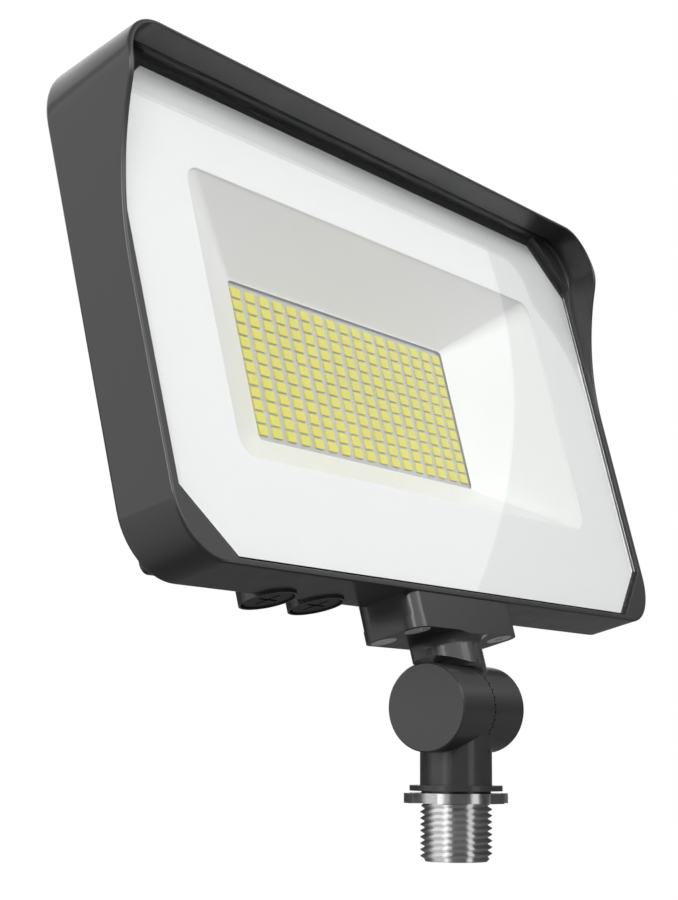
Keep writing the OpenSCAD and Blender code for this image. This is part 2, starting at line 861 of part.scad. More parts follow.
module knuckle_arm() {
  right_face = seam_x + seam_gap;
  color(charcoal) in_head() difference() {
    union() {
      translate([0, 0, arm_bottom]) linear_extrude(plate_t) plate_outline();
      difference() {
        union() {
          linear_extrude(arm_bottom + 1) neck_outline();
          intersection() {
            neck_flare();
            linear_extrude(arm_bottom + plate_t) plate_outline();
          }
        }
        along_x(-plate_w, relief_end, relief_r);
      }
      along_x(right_face, disc_right - disc_edge, disc_r);
      translate([disc_right - disc_edge, 0, 0]) rotate([0, 90, 0])
        cylinder(r1 = disc_r, r2 = disc_r - disc_edge, h = disc_edge);
    }
    difference() {
      along_x(right_face - 1, washer_seat - 2, cavity_r);
      along_x(right_face, washer_seat, boss_tube_r);
    }
    seam_notches(1);
    along_x(washer_seat, disc_right + 1, bolt_head_r + 0.6);
    along_x(right_face - 1, disc_right, bolt_r + fit);
    translate([duct_x, 0, boss_tube_r + 0.5]) cylinder(r = duct_r, h = arm_bottom + plate_t);
    at_arm_screws() {
      translate([0, 0, -eps]) cylinder(r1 = screw_head_r + 0.1, r2 = 2.1, h = 2);
      translate([0, 0, -1]) cylinder(r = 2.1, h = plate_t + 2);
    }
    translate([duct_x, 0, boss_end - 1]) difference() {
      cylinder(r = duct_r + 3.1, h = 2);
      cylinder(r = duct_r + 1.4, h = 2);
    }
  }
}

module arm_gasket() {
  color(rubber) in_head() translate([duct_x, 0, boss_end - 0.9]) rotate_extrude()
    translate([duct_r + 1.5, 0]) square([1.5, 0.88]);
}

module arm_screws() {
  color(zinc) in_head() at_arm_screws() {
    difference() {
      cylinder(r1 = screw_head_r, r2 = 2, h = 1.95);
      translate([0, 0, -1]) cross_slot(3.4, 0.8, 1.7);
    }
    translate([0, 0, 1.9]) cylinder(r = 1.65, h = 9);
  }
}

module stem() {
  left_face = seam_x - seam_gap;
  color(charcoal) difference() {
    union() {
      translate([0, 0, axis_rise]) {
        along_x(-disc_left + disc_edge, left_face, disc_r);
        translate([-disc_left, 0, 0]) rotate([0, 90, 0])
          cylinder(r1 = disc_r - disc_edge, r2 = disc_r, h = disc_edge);
      }
      difference() {
        translate([0, 0, flange_low + 0.5]) cylinder(r = tube_r, h = axis_rise - flange_low - 0.5);
        translate([0, 0, axis_rise]) along_x(left_face, disc_right + 10, relief_r);
      }
      translate([0, 0, flange_low]) cylinder(r = flange_r, h = shoulder_t);
      cylinder(r = neck_r_below, h = flange_low + 1);
      translate([0, 0, -thread_l + thread_chamfer]) cylinder(r = thread_r, h = thread_l - thread_chamfer);
      translate([0, 0, -thread_l])
        cylinder(r1 = thread_r - thread_chamfer, r2 = thread_r, h = thread_chamfer);
    }
    translate([0, 0, -thread_l - 1]) cylinder(r = wire_r, h = passage_low + thread_l + 2);
    translate([-passage_x, 0, passage_low]) cylinder(r = passage_r, h = axis_rise - passage_low - 5);
    translate([0, 0, axis_rise]) difference() {
      along_x(-disc_left + 3, left_face + 1, cavity_r);
      along_x(-disc_left + 3, left_face + 1, boss_tube_r);
    }
    translate([0, 0, axis_rise]) along_x(bolt_tip, left_face + 1, bolt_r + 0.05);
    translate([0, 0, axis_rise]) seam_notches(-1);
  }
}

module pivot_bolt() {
  color(steel) translate([0, 0, axis_rise]) difference() {
    union() {
      along_x(washer_seat + 0.1 + washer_t, washer_seat + 0.1 + washer_t + bolt_head_t, bolt_head_r);
      along_x(bolt_tip + 0.5, washer_seat + 2, bolt_r);
    }
    translate([washer_seat + washer_t + bolt_head_t - 2.4, 0, 0]) rotate([0, 90, 0])
      cylinder(r = 2.9, h = 4, $fn = 6);
  }
}

module pivot_washer() {
  color(steel) translate([0, 0, axis_rise]) difference() {
    along_x(washer_seat + 0.1, washer_seat + 0.1 + washer_t, bolt_head_r + 0.2);
    along_x(washer_seat - 1, washer_seat + 3, bolt_r + 0.1);
  }
}

module locknut() {
  body_r = nut_r - lug_depth;
  color(zinc) translate([0, 0, nut_gap]) difference() {
    union() {
      cylinder(r = body_r, h = nut_t);
      for (i = [0 : nut_lugs - 1])
        rotate([0, 0, i * 360 / nut_lugs + nut_turn - lug_angle / 2])
          rotate_extrude(angle = lug_angle)
            translate([body_r - 1, 0]) square([lug_depth + 1, nut_t]);
    }
    translate([0, 0, -1]) cylinder(r = thread_r + fit, h = nut_t + 2);
  }
}

housing();
back_cover();
cover_gasket();
cover_screws();
glass_lens();
lens_gasket();
reflector();
led_board();
led_chips();
thermal_pad();
board_screws();
driver_tray();
driver_board();
driver_transformer();
driver_capacitors();
driver_screws();
selector_board();
selector_bodies();
selector_screws();
power_slider();
colour_slider();
power_cap();
power_cap_seal();
colour_cap();
colour_cap_seal();
earth_screw();
knuckle_arm();
arm_gasket();
arm_screws();
stem();
pivot_bolt();
pivot_washer();
locknut();
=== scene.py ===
import math

import bmesh
import bpy
from mathutils import Matrix, Vector


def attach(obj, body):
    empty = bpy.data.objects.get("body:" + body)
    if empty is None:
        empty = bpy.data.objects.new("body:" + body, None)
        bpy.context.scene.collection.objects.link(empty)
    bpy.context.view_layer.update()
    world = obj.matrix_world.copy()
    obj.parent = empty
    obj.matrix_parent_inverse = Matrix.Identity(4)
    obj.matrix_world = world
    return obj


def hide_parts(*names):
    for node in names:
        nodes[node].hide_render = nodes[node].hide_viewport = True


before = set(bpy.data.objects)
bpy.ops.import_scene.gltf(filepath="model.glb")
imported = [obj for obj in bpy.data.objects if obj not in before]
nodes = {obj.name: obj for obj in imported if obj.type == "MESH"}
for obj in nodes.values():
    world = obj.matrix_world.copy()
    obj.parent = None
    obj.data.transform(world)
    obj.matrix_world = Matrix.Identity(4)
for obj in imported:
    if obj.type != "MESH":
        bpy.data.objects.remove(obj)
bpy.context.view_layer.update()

MM = 0.001

# Head frame: origin on the tilt axis, x across, w forward and v up, in millimetres.
AXIS_RISE = 28.0
TILT = 14.6
KNUCKLE = Vector((0, 0, AXIS_RISE * MM))
HEAD = Matrix.Translation(KNUCKLE) @ Matrix.Rotation(math.radians(-TILT), 4, "X")
HEAD_UP = HEAD.to_3x3() @ Vector((0, 0, 1))
HEAD_FRONT = HEAD.to_3x3() @ Vector((0, -1, 0))


def head_point(x, w, v):
    return HEAD @ Vector((x * MM, -w * MM, v * MM))


# Shader helpers

def new_material(name):
    """A material with a Principled shader, and its tree, shader and output."""
    mat = bpy.data.materials.new(name)
    mat.use_nodes = True
    tree = mat.node_tree
    tree.nodes.clear()
    out = tree.nodes.new("ShaderNodeOutputMaterial")
    bsdf = tree.nodes.new("ShaderNodeBsdfPrincipled")
    tree.links.new(bsdf.outputs[0], out.inputs[0])
    return mat, tree, bsdf, out


def noise(tree, scale, detail=4.0, roughness=0.55):
    coords = tree.nodes.new("ShaderNodeTexCoord")
    tex = tree.nodes.new("ShaderNodeTexNoise")
    tex.inputs["Scale"].default_value = scale
    tex.inputs["Detail"].default_value = detail
    tex.inputs["Roughness"].default_value = roughness
    tree.links.new(coords.outputs["Object"], tex.inputs["Vector"])
    return tex.outputs["Fac"]


def remap(tree, value, low, high, to_low=0, to_high=1):
    node = tree.nodes.new("ShaderNodeMapRange")
    node.inputs["From Min"].default_value = low
    node.inputs["From Max"].default_value = high
    node.inputs["To Min"].default_value = to_low
    node.inputs["To Max"].default_value = to_high
    tree.links.new(value, node.inputs["Value"])
    return node.outputs["Result"]


def mix(tree, fac, a, b):
    """Colour between a and b. The Mix node has its colours in inputs 6 and 7 and output 2."""
    node = tree.nodes.new("ShaderNodeMix")
    node.data_type = "RGBA"
    node.inputs[6].default_value = (*a, 1)
    node.inputs[7].default_value = (*b, 1)
    tree.links.new(fac, node.inputs[0])
    return node.outputs[2]


def choose(tree, fac, low, high):
    """Value from low to high, each a number or a socket. The Mix node has its plain values in
    inputs 2 and 3 and output 0."""
    node = tree.nodes.new("ShaderNodeMix")
    for index, value in ((2, low), (3, high)):
        if isinstance(value, float):
            node.inputs[index].default_value = value
        else:
            tree.links.new(value, node.inputs[index])
    tree.links.new(fac, node.inputs[0])
    return node.outputs[0]


def combine(tree, operation, a, b):
    node = tree.nodes.new("ShaderNodeMath")
    node.operation = operation
    tree.links.new(a, node.inputs[0])
    tree.links.new(b, node.inputs[1])
    return node.outputs[0]


def reach_along(tree, vector, azimuth, elevation=0.0):
    """How far a vector reaches along a direction, its azimuth counted from +X towards +Y."""
    az, el = math.radians(azimuth), math.radians(elevation)
    node = tree.nodes.new("ShaderNodeVectorMath")
    node.operation = "DOT_PRODUCT"
    tree.links.new(vector, node.inputs[0])
    node.inputs[1].default_value = (math.cos(az) * math.cos(el), math.sin(az) * math.cos(el),
                                    math.sin(el))
    return node.outputs["Value"]


def blend_shaders(tree, out, fac, a, b):
    """Sends a blend of two shaders to the material's output."""
    node = tree.nodes.new("ShaderNodeMixShader")
    for index, source in enumerate((fac, a, b)):
        tree.links.new(source, node.inputs[index])
    tree.links.new(node.outputs[0], out.inputs[0])


# Materials

# Noise values between which one tone turns into the other.
PATCH_LOW, PATCH_HIGH = 0.3, 0.7
ROUGH_SPREAD = 0.04
GRAIN_DETAIL, GRAIN_HEIGHT = 3.0, 0.0002


def grained(name, dark, light, rough, grain, depth, metallic=0.0, patches=60.0, coat=0.0,
            specular=0.5, coat_rough=0.1):
    """Two close tones in soft patches, a roughness that varies with them and a fine bump."""
    mat, tree, bsdf, _ = new_material(name)
    patch = noise(tree, patches)
    tone = mix(tree, remap(tree, patch, PATCH_LOW, PATCH_HIGH), dark, light)
    tree.links.new(tone, bsdf.inputs["Base Color"])
    roughness = remap(tree, patch, PATCH_LOW, PATCH_HIGH, rough - ROUGH_SPREAD,
                      rough + ROUGH_SPREAD)
    tree.links.new(roughness, bsdf.inputs["Roughness"])
    bsdf.inputs["Metallic"].default_value = metallic
    bsdf.inputs["Specular IOR Level"].default_value = specular
    if coat:
        bsdf.inputs["Coat Weight"].default_value = coat
        bsdf.inputs["Coat Roughness"].default_value = coat_rough
    bump = tree.nodes.new("ShaderNodeBump")
    bump.inputs["Strength"].default_value = depth
    bump.inputs["Distance"].default_value = GRAIN_HEIGHT
    tree.links.new(noise(tree, grain, GRAIN_DETAIL), bump.inputs["Height"])
    tree.links.new(bump.outputs[0], bsdf.inputs["Normal"])
    return mat


def shade(level, tint=(1, 1, 1)):
    return tuple(level * t for t in tint)


COAT_TINT = (1, 1, 1.01)
MASK_TINT = (0.97, 0.98, 1.02)

# Each has its dark and light tone, its roughness, and the scale and strength of its grain.
CHARCOAL = grained("powder_coat", shade(0.0215, COAT_TINT), shade(0.0245, COAT_TINT), 0.47, 2600,
                   0.05, patches=90, coat=0.5, specular=0.3, coat_rough=0.16)
RUBBER = grained("seal_rubber", shade(0.010), shade(0.014), 0.6, 1500, 0.15)
ZINC = grained("zinc_plate", shade(0.44), shade(0.53), 0.20, 900, 0.04, metallic=1.0)
SCREW = grained("screw_zinc", shade(0.86), shade(0.94), 0.34, 1400, 0.12, metallic=0.45)
STEEL = grained("bolt_steel", shade(0.30), shade(0.38), 0.32, 1200, 0.08, metallic=1.0)
WHITE = grained("reflector_white", shade(0.80), shade(0.82), 0.42, 700, 0.03, patches=12)
BOARD = grained("board_mask", shade(0.40, MASK_TINT), shade(0.45, MASK_TINT), 0.45, 1800, 0.06)
PHOSPHOR = grained("led_phosphor", (0.64, 0.595, 0.022), (0.68, 0.63, 0.030), 0.5, 2500, 0.10,
                   specular=0.12)
PAD = grained("thermal_pad", (0.28, 0.34, 0.42), (0.33, 0.40, 0.48), 0.7, 1200, 0.2)
TRAY = grained("driver_plastic", shade(0.02), shade(0.03), 0.5, 1600, 0.2)
CIRCUIT = grained("circuit_mask", (0.01, 0.12, 0.04), (0.015, 0.16, 0.06), 0.4, 900, 0.1)
TAPE = grained("transformer_tape", (0.62, 0.44, 0.06), (0.70, 0.52, 0.09), 0.35, 500, 0.1)
SLEEVE = grained("capacitor_sleeve", (0.02, 0.025, 0.07), (0.03, 0.035, 0.10), 0.3, 500, 0.08)
SWITCH = grained("switch_plastic", shade(0.014), shade(0.02), 0.45, 1600, 0.15)
SLIDER = grained("slider_white", shade(0.72), shade(0.78), 0.4, 1400, 0.08)
CAP = grained("cap_plastic", shade(0.016), shade(0.020), 0.40, 2200, 0.15, specular=0.3)
# Near-black painted shade for the walls of the seam's notches, standing in for the shade inside
# them.
NOTCH_SHADE = grained("notch_painted_shade", shade(0.002), shade(0.003), 0.7, 2200, 0.15, specular=0.1)
SILICONE = grained("seal_silicone", (0.26, 0.05, 0.02), (0.33, 0.07, 0.03), 0.5, 900, 0.1)
EARTH = grained("earth_green", (0.02, 0.22, 0.07), (0.03, 0.30, 0.10), 0.4, 900, 0.1)

GLASS_IOR, GLASS_ROUGH, GLASS_PATCHES = 1.46, 0.012, 30
GLASS_CLEAR = (0.975, 0.985, 0.98, 1)


def clear_glass():
    """Glass to the eye, and plain and clear to shadows and to the light that surfaces scatter."""
    mat, tree, bsdf, out = new_material("clear_glass")
    bsdf.inputs["Base Color"].default_value = (1, 1, 1, 1)
    bsdf.inputs["Transmission Weight"].default_value = 1.0
    bsdf.inputs["IOR"].default_value = GLASS_IOR
    roughness = remap(tree, noise(tree, GLASS_PATCHES), PATCH_LOW, PATCH_HIGH, 0.0, GLASS_ROUGH)
    tree.links.new(roughness, bsdf.inputs["Roughness"])
    clear = tree.nodes.new("ShaderNodeBsdfTransparent")
    clear.inputs["Color"].default_value = GLASS_CLEAR
    path = tree.nodes.new("ShaderNodeLightPath")
    either = combine(tree, "MAXIMUM", path.outputs["Is Shadow Ray"],
                     path.outputs["Is Diffuse Ray"])
    blend_shaders(tree, out, either, bsdf.outputs[0], clear.outputs[0])
    return mat


GLASS = clear_glass()

# Outlines and loops

def smoothstep(a, b, t):
    t = min(1.0, max(0.0, (t - a) / (b - a)))
    return t * t * (3 - 2 * t)


def quarter_turn(steps):
    """Angles from 0 to 90 degrees, in radians."""
    return [math.radians(90 * k / steps) for k in range(steps + 1)]


def between(a, b, t, n=1):
    """The point t of n steps on the way from a to b."""
    return (a[0] + (b[0] - a[0]) * t / n, a[1] + (b[1] - a[1]) * t / n)


def place_loop(points, w):
    """Points (x, v) of the head frame, set at depth w."""
    return [(x * MM, -w * MM, v * MM) for x, v in points]


# Mesh helpers

WELD = 1e-6
SMOOTH_ANGLE = 32.0


def new_ring(bm, loop):
    return [bm.verts.new(p) for p in loop]


def join_rings(bm, a, b):
    """Skins the band between two equally long closed rings of vertices."""
    n = len(a)
    for i in range(n):
        j = (i + 1) % n
        bm.faces.new((a[i], a[j], b[j], b[i]))


def bridge(bm, loops, close=True):
    """Skins a list of equally long closed loops of points, each joined to the next."""
    rings = [new_ring(bm, loop) for loop in loops]
    for a, b in zip(rings, rings[1:]):
        join_rings(bm, a, b)
    if close:
        bm.faces.new(rings[0])
        bm.faces.new(rings[-1])
    return rings


def cad_mesh(name, place=None):
    """A copy of a CAD node's mesh with its corners welded."""
    bm = bmesh.new()
    bm.from_mesh(nodes[name].data)
    if place is not None:
        bm.transform(place)
    bmesh.ops.remove_doubles(bm, verts=bm.verts, dist=WELD)
    return bm


def bisect(bm, point, normal, clear_inner=False, clear_outer=False):
    """Cuts a mesh at a plane and clears a side of it."""
    geom = bm.verts[:] + bm.edges[:] + bm.faces[:]
    bmesh.ops.bisect_plane(bm, geom=geom, plane_co=point, plane_no=normal,
                           clear_inner=clear_inner, clear_outer=clear_outer)


def finish_mesh(bm, name, mat, body, angle=SMOOTH_ANGLE, place=None):
    """Turns a mesh into a piece that rides on a body, smooth up to an angle in degrees."""
    bmesh.ops.recalc_face_normals(bm, faces=bm.faces)
    mesh = bpy.data.meshes.new(name)
    bm.to_mesh(mesh)
    bm.free()
    if place is not None:
        mesh.transform(place)
    obj = bpy.data.objects.new(name, mesh)
    bpy.context.scene.collection.objects.link(obj)
    mesh.materials.append(mat)
    mesh.shade_smooth()
    mesh.set_sharp_from_angle(angle=math.radians(angle))
    even = obj.modifiers.new("even_normals", "WEIGHTED_NORMAL")
    even.keep_sharp = True
    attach(obj, body)
    return obj


# Shading normals

# Cosines between two faces of one flat, and between two faces that run smoothly into each other.
SAME_PLANE, SMOOTH = 0.99998, math.cos(math.radians(SMOOTH_ANGLE))
# Greatest cosine between a round wall's normal and its axis, and least one to its spokes.
ACROSS_AXIS, ALONG_SPOKE = 0.02, 0.98
# Least radius of a round wall and how far its corners may differ from it, in metres.
LEAST_RADIUS, ROUND_SLACK = 0.004, 0.00003


def flat_groups(mesh, least_area):
    """Tells for each face whether it belongs to a flat of some size."""
    edges = {}
    for poly in mesh.polygons:
        for key in poly.edge_keys:
            edges.setdefault(key, []).append(poly.index)
    area = {}
    group = [-1] * len(mesh.polygons)
    for poly in mesh.polygons:
        if group[poly.index] >= 0:
            continue
        group[poly.index] = poly.index
        stack, total = [poly.index], 0.0
        while stack:
            face = mesh.polygons[stack.pop()]
            total += face.area
            for key in face.edge_keys:
                for other in edges[key]:
                    if group[other] >= 0:
                        continue
                    if poly.normal.dot(mesh.polygons[other].normal) > SAME_PLANE:
                        group[other] = poly.index
                        stack.append(other)
        area[poly.index] = total
    return [area[g] > least_area for g in group]


def wall_spokes(poly, corners, axes):
    """Spokes to a face's corners from the axis that it is turned about, where there is one."""
    for point, along in axes:
        if abs(poly.normal.dot(along)) > ACROSS_AXIS:
            continue
        spokes = [(p - point) - (p - point).dot(along) * along for p in corners]
        radii = [spoke.length for spoke in spokes]
        if min(radii) < LEAST_RADIUS or max(radii) - min(radii) > ROUND_SLACK:
            continue
        if all(abs(spoke.normalized().dot(poly.normal)) > ALONG_SPOKE for spoke in spokes):
            return spokes
    return None


def mean_normal(mesh, poly, around, flat):
    """Mean normal of the faces round a corner that run smoothly into a face, or of the flats
    among them."""
    sides = [f for f in around if mesh.polygons[f].normal.dot(poly.normal) > SMOOTH]
    total = Vector((0, 0, 0))
    for f in [f for f in sides if flat[f]] or sides:
        total += mesh.polygons[f].normal * mesh.polygons[f].area
    return total.normalized() if total.length > 0 else poly.normal.copy()


def true_normals(obj, axes, least_area):
    """Exact normals: about the given axes on round walls, face normals on flats, and on other
    rounds the mean of their faces, tangent to any flat that they run into."""
    mesh = obj.data
    turned = [(Vector(point), Vector(along).normalized()) for point, along in axes]
    flat = flat_groups(mesh, least_area)
    around = [[] for _ in mesh.vertices]
    for poly in mesh.polygons:
        for index in poly.vertices:
            around[index].append(poly.index)
    normals = [None] * len(mesh.loops)
    for poly in mesh.polygons:
        spokes = wall_spokes(poly, [mesh.vertices[i].co for i in poly.vertices], turned)
        for k, (loop, index) in enumerate(zip(poly.loop_indices, poly.vertices)):
            if spokes:
                out = spokes[k].normalized()
                normals[loop] = out if out.dot(poly.normal) > 0 else -out
            elif flat[poly.index]:
                normals[loop] = poly.normal.copy()
            else:
                normals[loop] = mean_normal(mesh, poly, around[index], flat)
    obj.modifiers.clear()
    mesh.normals_split_custom_set(normals)


# Housing, in millimetres of the head frame

# Half the rim's width, its lowest and highest edge, and the front of its lip and its back.
HALF_W = 134.5
LOW, TOP = 31.5, 179.8
LIP, BACK = 11.9, -7.0
# The lip sweeps forward in a concave arc and turns up into the hood's front in a convex one.
HOOD_FRONT = 24.3
SWEEP_R, TURN_R, TURN_HIGH = 122.0, 18.0, 165.7
SWEEP_A = math.acos(1 - (HOOD_FRONT - LIP) / (SWEEP_R + TURN_R))
SWEEP_LOW = TURN_HIGH - (SWEEP_R + TURN_R) * math.sin(SWEEP_A)
# The floor beside the lens rises by this much between two heights.
FLOOR_RISE, RISE_LOW, RISE_HIGH = 1.2, 150, 164
# Steps of an outline round a corner, up a side and along its top or bottom.
CORNER_N, SIDE_N, LEVEL_N = 14, 70, 6
# Width and height of the cut corners of lens, pocket and flange.
CUT = (19.5, 17.2)

# Radii of the rim's lower corners, and of its upper ones at the back and at the front.
BOTTOM_R, TOP_R_BACK, TOP_R_FRONT = 17.5, 22.0, 16.5
# Radii of the back edge, of the lip's outer and inner edge, and of the fillet at its foot.
EDGE_R, LIP_R, INNER_R, FILLET_R = 1.2, 0.8, 0.35, 1.2
# The inner edge's and the fillet's radius keep to these shares of the lip's height.
INNER_SHARE, FILLET_SHARE = 0.4, 0.5
# Thickness of the wings, the hood and the sill, and how far the skirt hangs below the rim.
WING_T, HOOD_T, SILL_T, SKIRT = 1.8, 1.4, 0.75, 0.3
# Share of a growth of the walls that the thin sill takes.
SILL_SHARE = 0.4
# Width of the flat strip beside the back edge, and the shares of the way from that edge to the
# lip at which the rim's outside has its loops.
BACK_STRIP, OUTSIDE_STEPS = 0.4, (0.05, 0.5, 0.95)
# Tops of the grooves inside the hood, their width and their bevel, in shares of the lip's height.
GROOVE_TOPS, GROOVE_WIDTH, GROOVE_BEVEL = (0.195, 0.125), 0.045, 0.005
GROOVE_DEPTH = 0.5
# Lip heights between which the grooves fade in, and distances below the rim's top.
GROOVE_LIP, GROOVE_BELOW = (4, 9), (6, 3)
# The fillet's section: shares of the way from the wall to the pocket and of the fillet's radius.
FILLET_SECTION = ((0.0, 0.9), (0.03, 0.55), (0.08, 0.25), (0.16, 0.06), (0.3, 0.0), (0.65, 0.0))

# Insets of the lens pocket, of its bevelled edge and of the cavity from the rim's sides, bottom
# and top.
POCKET, POCKET_EDGE, CAVITY = (3.3, 1.5, 1.45), (3.05, 1.3, 1.42), (7.3, 5.5, 7.9)
POCKET_CUT, POCKET_BEVEL = (19.4, 17.1), 0.25
POCKET_FLOOR, CAVITY_FLOOR, SHAFT_FLOOR = 7.5, -2.8, -13.4
# Half width, low and high edge and corner radius of the LEDs' shaft at its mouth and its foot,
# and of the opening in the rim's back that the CAD's own back covers.
SHAFT_MOUTH, SHAFT_FOOT = (79.5, 70.5, 147.5, 4), (70, 75.0, 136.0, 2)
BACK_OPENING = (88, 48, 147, 3)
# How far the CAD's share starts behind the rim's back, and reaches up into the rim from below.
BACK_GAP, BOSS_LAP = 0.2, 0.3
# Upright centre lines of the corners of the arm's boss, and then of the arm: plate and neck.
BOSS_CORNERS = tuple((x, w) for w in (6.4, -4.6) for x in (-25.25, 25.25))
ARM_CORNERS = BOSS_CORNERS + ((-0.5, -1.3), (2.8, -1.3))


def front_at(v):
    """How far forward the lip stands at height v, from the head's side profile."""
    if v <= SWEEP_LOW:
        return LIP
    if v <= SWEEP_LOW + SWEEP_R * math.sin(SWEEP_A):
        return LIP + SWEEP_R - math.sqrt(SWEEP_R ** 2 - (v - SWEEP_LOW) ** 2)
    if v <= TURN_HIGH:
        return HOOD_FRONT - TURN_R + math.sqrt(TURN_R ** 2 - (TURN_HIGH - v) ** 2)
    return HOOD_FRONT


def floor_at(v):
    """Level of the floor beside the lens, a little higher in the upper corners."""
    return LIP + FLOOR_RISE * smoothstep(RISE_LOW, RISE_HIGH, v)


def lip_height(v):
    return max(0.0, front_at(v) - floor_at(v))


def cut_corners(side, bottom, top, cut=CUT):
    """The two ends of each cut corner of an octagon at these insets from the rim's box."""
    x = HALF_W - side
    v0, v1 = LOW + bottom, TOP - top
    cx, cv = cut
    return [((x, v1 - cv), (x - cx, v1)), ((-x + cx, v1), (-x, v1 - cv)),
            ((-x, v0 + cv), (-x + cx, v0)), ((x - cx, v0), (x, v0 + cv))]


def with_sides(corners):
    """Closed outline through four corners, with points along the straights between them."""
    points = []
    for k, n in enumerate((LEVEL_N, SIDE_N, LEVEL_N, SIDE_N)):
        end, start = corners[k][-1], corners[(k + 1) % 4][0]
        points += corners[k]
        points += [between(end, start, i, n) for i in range(1, n)]
    return points


def octagon(side, bottom, top, cut=CUT):
    """Outline with cut corners, as many points as a rounded one."""
    return with_sides([[between(a, b, k, CORNER_N) for k in range(CORNER_N + 1)]
                       for a, b in cut_corners(side, bottom, top, cut)])


def rounded(side, bottom, top, r_bottom, r_top):
    """Rounded rectangle at these insets from the rim's box."""
    x = HALF_W - side
    v0, v1 = LOW + bottom, TOP - top
    corners = []
    for cx, cv, r, start in ((x - r_top, v1 - r_top, r_top, 0),
                             (-x + r_top, v1 - r_top, r_top, 90),
                             (-x + r_bottom, v0 + r_bottom, r_bottom, 180),
                             (x - r_bottom, v0 + r_bottom, r_bottom, 270)):
        turn = [math.radians(start + 90 * k / CORNER_N) for k in range(CORNER_N + 1)]
        corners.append([(cx + r * math.cos(a), cv + r * math.sin(a)) for a in turn])
    return with_sides(corners)


def rectangle(half_w, v0, v1, r):
    """Rounded rectangle from its half width, its low and high edge and its corner radius."""
    return rounded(HALF_W - half_w, v0 - LOW, TOP - v1, r, r)


def band(inset, t=1.0):
    """Outside of the rim with an inset, at a share of the way from its back to its front."""
    top_r = TOP_R_BACK + (TOP_R_FRONT - TOP_R_BACK) * t
    return rounded(inset, inset - SKIRT, inset, BOTTOM_R - inset, top_r - inset)


def wall(grow):
    """Inside of the wings, hood and sill, grown into them by a little."""
    return rounded(WING_T - grow, SILL_T - grow * SILL_SHARE, HOOD_T - grow,
                   BOTTOM_R - WING_T + grow, TOP_R_FRONT - WING_T + grow)


def grooved(share):
    """The hood's inside, cut out by a groove that fades where the hood runs out."""
    points = []
    for (x, v), (_, deep) in zip(wall(0), wall(GROOVE_DEPTH)):
        under_lip = smoothstep(*GROOVE_LIP, lip_height(v))
        near_top = smoothstep(TOP - GROOVE_BELOW[0], TOP - GROOVE_BELOW[1], v)
        points.append((x, v + (deep - v) * share * under_lip * near_top))
    return points


def rim_loops():
    """Loops of the casting's skin, from its back edge over the lip and down into the cavity."""
    loops = []

    def ring(points, depth):
        loops.append([(x * MM, -depth(v) * MM, v * MM) for x, v in points])

    def level(v):
        return min(floor_at(v), front_at(v))

    ring(band(EDGE_R + BACK_STRIP, 0.0), lambda v: BACK)
    for a in quarter_turn(4):
        ring(band(EDGE_R * (1 - math.sin(a)), 0.0),
             lambda v, a=a: BACK + EDGE_R * (1 - math.cos(a)))
    for t in OUTSIDE_STEPS:
        ring(band(0, t), lambda v, t=t: (BACK + EDGE_R) * (1 - t) + (front_at(v) - LIP_R) * t)
    for a in quarter_turn(4):
        ring(band(LIP_R * (1 - math.cos(a))),
             lambda v, a=a: front_at(v) - LIP_R * (1 - math.sin(a)))
    for a in quarter_turn(3):
        ring(wall(INNER_R * (1 - math.sin(a))),
             lambda v, a=a: (front_at(v)
                             - min(INNER_R, lip_height(v) * INNER_SHARE) * (1 - math.cos(a))))
    for top in GROOVE_TOPS:
        foot = top - GROOVE_WIDTH
        for up, share in ((top, 0), (top - GROOVE_BEVEL, 1), (foot + GROOVE_BEVEL, 1), (foot, 0)):
            ring(grooved(share), lambda v, up=up: floor_at(v) + lip_height(v) * up)
    foot_of_wall, edge = wall(0), octagon(*POCKET_EDGE, cut=POCKET_CUT)
    for t, share in FILLET_SECTION:
        ring([between(p, q, t) for p, q in zip(foot_of_wall, edge)],
             lambda v, share=share: level(v) + min(FILLET_R, lip_height(v) * FILLET_SHARE) * share)
    ring(edge, level)
    pocket, cavity = octagon(*POCKET), octagon(*CAVITY)
    ring(pocket, lambda v: level(v) - POCKET_BEVEL)
    loops.append(place_loop(pocket, POCKET_FLOOR))
    loops.append(place_loop(cavity, POCKET_FLOOR))
    loops.append(place_loop(cavity, CAVITY_FLOOR))
    return loops


def add_cad_housing(bm, behind):
    """Adds what the CAD housing has behind the rim, or else what it has in front and below."""
    part = cad_mesh("housing", HEAD.inverted())
    bisect(part, (0, -(BACK - BACK_GAP) * MM, 0), (0, 1, 0), clear_inner=behind,
           clear_outer=not behind)
    if not behind:
        bisect(part, (0, 0, (LOW + BOSS_LAP) * MM), (0, 0, 1), clear_outer=True)
    extra = bpy.data.meshes.new("part")
    part.to_mesh(extra)
    part.free()
    bm.from_mesh(extra)
    bpy.data.meshes.remove(extra)


def build_housing():
    """The casting's rim, hood, wings, lens pocket and cavity as one skin, on the CAD's back."""
    bm = bmesh.new()
    rings = bridge(bm, rim_loops(), close=False)
    mouth = new_ring(bm, place_loop(rectangle(*SHAFT_MOUTH), CAVITY_FLOOR))
    foot = new_ring(bm, place_loop(rectangle(*SHAFT_FOOT), SHAFT_FLOOR))
    join_rings(bm, rings[-1], mouth)
    join_rings(bm, mouth, foot)
    bm.faces.new(foot)
    join_rings(bm, rings[0], new_ring(bm, place_loop(rectangle(*BACK_OPENING), BACK)))
    for behind in (True, False):
        add_cad_housing(bm, behind)
    obj = finish_mesh(bm, "housing_shell", CHARCOAL, "head", place=HEAD)
    corners = [(head_point(x, w, 0), HEAD_UP) for x, w in BOSS_CORNERS]
    true_normals(obj, corners, least_area=1.5e-4)
    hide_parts("housing")


build_housing()

# Lens, reflector and LEDs, in millimetres of the head frame

LENS_BACK, LENS_FRONT, LENS_BEVEL = 9.0, 11.0, 0.5
# Insets from the rim's sides, bottom and top.
LENS = (3.6, 1.8, 1.7)


